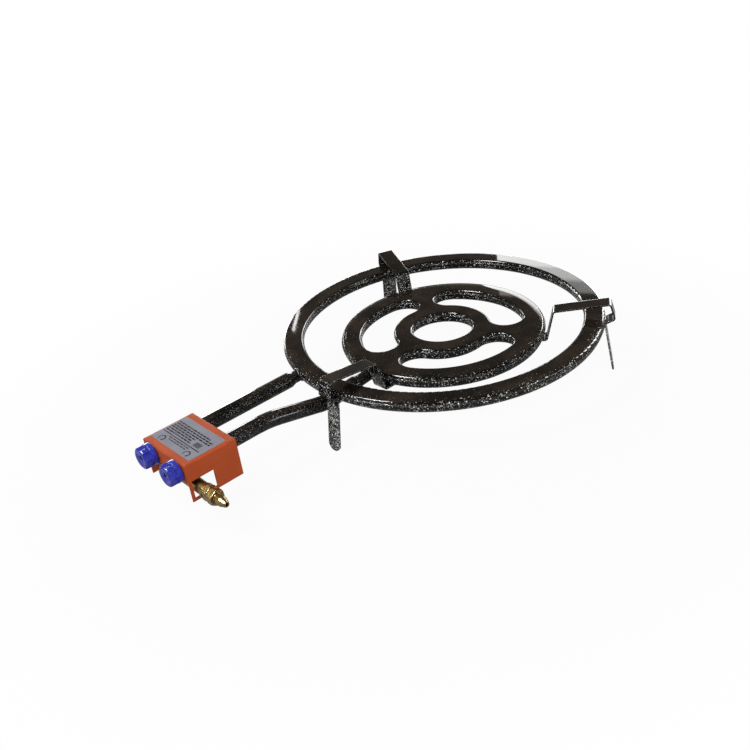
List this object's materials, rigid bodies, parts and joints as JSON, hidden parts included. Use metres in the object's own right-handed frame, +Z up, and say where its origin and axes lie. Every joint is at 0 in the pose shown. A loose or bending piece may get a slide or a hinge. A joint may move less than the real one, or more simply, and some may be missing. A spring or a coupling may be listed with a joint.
{
  "type": "paella gas burner",
  "caption": "Gas ring burner for paella pans: speckled enamel outer ring and lower inner burner on bent strip legs, with feed tubes, an orange tap box, blue knobs and a brass hose inlet.",
  "frame": {"origin": "centre of the bounding box on the floor under the feet", "axes": "+Z up, +Y along the feed tubes from the knobs to the rings, +X to the right seen from the knobs, the side of the hose inlet"},
  "size_m": [0.4, 0.6075, 0.0928],
  "materials": {
    "enamel": "black vitreous enamel with pale speckle on pressed steel",
    "orange_paint": "satin orange powder coat on folded sheet",
    "brass": "turned brass",
    "blue_plastic": "gloss moulded blue",
    "steel": "zinc plated",
    "seal_rubber": "matt"
  },
  "bodies": {
    "burner": {"outer_ring_cover": "enamel", "outer_ring_trough": "enamel", "inner_burner_cover": "enamel", "inner_burner_dish": "enamel", "outer_feed_tube": "enamel", "inner_feed_tube": "enamel", "pan_support_right": "enamel", "pan_support_left": "enamel", "pan_support_front": "enamel", "control_box": "orange_paint", "gas_manifold": "brass", "manifold_plug": "brass", "outer_tap_body": "brass", "inner_tap_body": "brass", "panel_washers": "steel", "panel_nuts": "brass", "gland_bushes": "brass", "injectors": "brass", "inlet_adaptor": "brass", "inlet_seal": "seal_rubber", "union_nut": "brass", "hose_tail": "brass"},
    "outer_knob_set": {"outer_knob": "blue_plastic", "outer_spindle": "brass", "outer_knob_screw": "steel"},
    "inner_knob_set": {"inner_knob": "blue_plastic", "inner_spindle": "brass", "inner_knob_screw": "steel"}
  },
  "joints": [
    {"name": "outer_knob_turn", "type": "hinge", "parent": "burner", "child": "outer_knob_set", "pos_m": [-0.05, -0.29775, 0.068], "axis": [0, -1, 0], "range_deg": [0, 270]},
    {"name": "inner_knob_turn", "type": "hinge", "parent": "burner", "child": "inner_knob_set", "pos_m": [0, -0.29775, 0.068], "axis": [0, -1, 0], "range_deg": [0, 270]}
  ]
}
